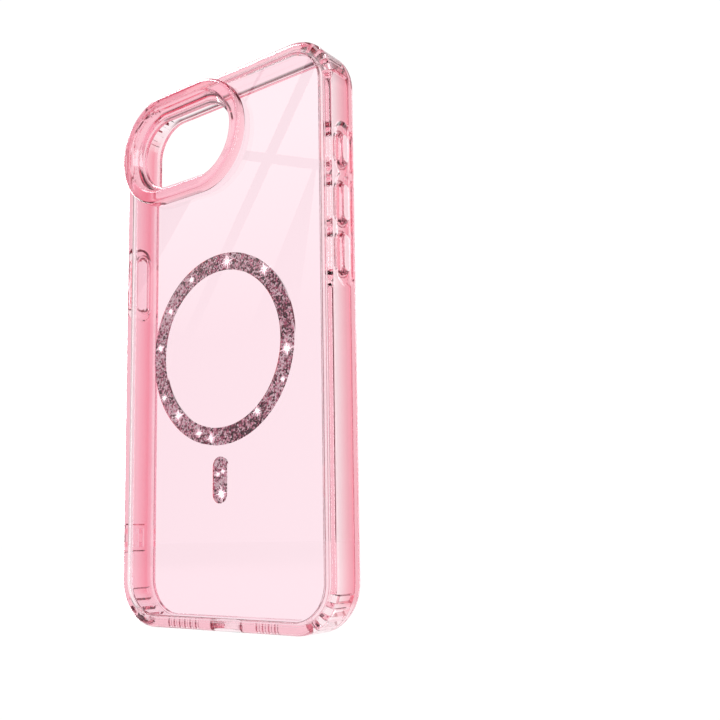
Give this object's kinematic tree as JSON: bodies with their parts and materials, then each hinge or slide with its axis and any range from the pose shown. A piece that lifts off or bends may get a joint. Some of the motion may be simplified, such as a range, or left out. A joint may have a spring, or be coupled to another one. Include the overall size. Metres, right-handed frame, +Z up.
{
  "type": "phone case",
  "caption": "Clear two-part phone case: hard back plate, soft bumper frame with raised camera guard, glitter-faced magnet ring and sprung side keys.",
  "frame": {"origin": "middle of the bottom face of the bounding box, on the surface that the case stands on", "axes": "+Z up the case's length, X across its width with the three-key side at +X, -Y out of the back plate, +Y out of the open front"},
  "size_m": [0.0782, 0.0136, 0.1521],
  "materials": {
    "clear_shell": "clear moulded polycarbonate, pale pink, high gloss",
    "soft_frame": "clear moulded thermoplastic polyurethane, pink, gloss",
    "soft_guard": "clear moulded thermoplastic polyurethane, deeper pink, gloss",
    "key": "clear moulded thermoplastic polyurethane, pink, gloss",
    "glitter_film": "polyester film with fine rose glitter",
    "backing_film": "matt pale pink polyester film",
    "magnet": "nickel-plated sintered magnet"
  },
  "bodies": {
    "case": {"back_plate": "clear_shell", "bumper_frame": "soft_frame", "camera_guard": "soft_guard", "ring_glitter_film": "glitter_film", "bar_glitter_film": "glitter_film", "ring_backing_film": "backing_film", "bar_backing_film": "backing_film", "bar_magnet_upper": "magnet", "bar_magnet_lower": "magnet", "ring_magnet_01": "magnet", "ring_magnet_02": "magnet", "ring_magnet_03": "magnet", "ring_magnet_04": "magnet", "ring_magnet_05": "magnet", "ring_magnet_06": "magnet", "ring_magnet_07": "magnet", "ring_magnet_08": "magnet", "ring_magnet_09": "magnet", "ring_magnet_10": "magnet", "ring_magnet_11": "magnet", "ring_magnet_12": "magnet", "ring_magnet_13": "magnet", "ring_magnet_14": "magnet", "ring_magnet_15": "magnet", "ring_magnet_16": "magnet", "ring_magnet_17": "magnet", "ring_magnet_18": "magnet", "ring_magnet_19": "magnet", "ring_magnet_20": "magnet", "ring_magnet_21": "magnet", "ring_magnet_22": "magnet", "ring_magnet_23": "magnet", "ring_magnet_24": "magnet", "ring_magnet_25": "magnet", "ring_magnet_26": "magnet", "ring_magnet_27": "magnet", "ring_magnet_28": "magnet", "ring_magnet_29": "magnet", "ring_magnet_30": "magnet", "ring_magnet_31": "magnet", "ring_magnet_32": "magnet", "ring_magnet_33": "magnet", "ring_magnet_34": "magnet", "ring_magnet_35": "magnet", "ring_magnet_36": "magnet"},
    "action_key": {"action_key": "key"},
    "volume_up_key": {"volume_up_key": "key"},
    "volume_down_key": {"volume_down_key": "key"},
    "side_key": {"side_key": "key"}
  },
  "joints": [
    {"name": "action_key_press", "type": "slide", "parent": "case", "child": "action_key", "axis": [-1, 0, 0], "range_m": [0, 0.00035], "stiffness_N_per_m": 1500},
    {"name": "volume_up_press", "type": "slide", "parent": "case", "child": "volume_up_key", "axis": [-1, 0, 0], "range_m": [0, 0.00035], "stiffness_N_per_m": 1500},
    {"name": "volume_down_press", "type": "slide", "parent": "case", "child": "volume_down_key", "axis": [-1, 0, 0], "range_m": [0, 0.00035], "stiffness_N_per_m": 1500},
    {"name": "side_key_press", "type": "slide", "parent": "case", "child": "side_key", "axis": [1, 0, 0], "range_m": [0, 0.00035], "stiffness_N_per_m": 1500}
  ]
}
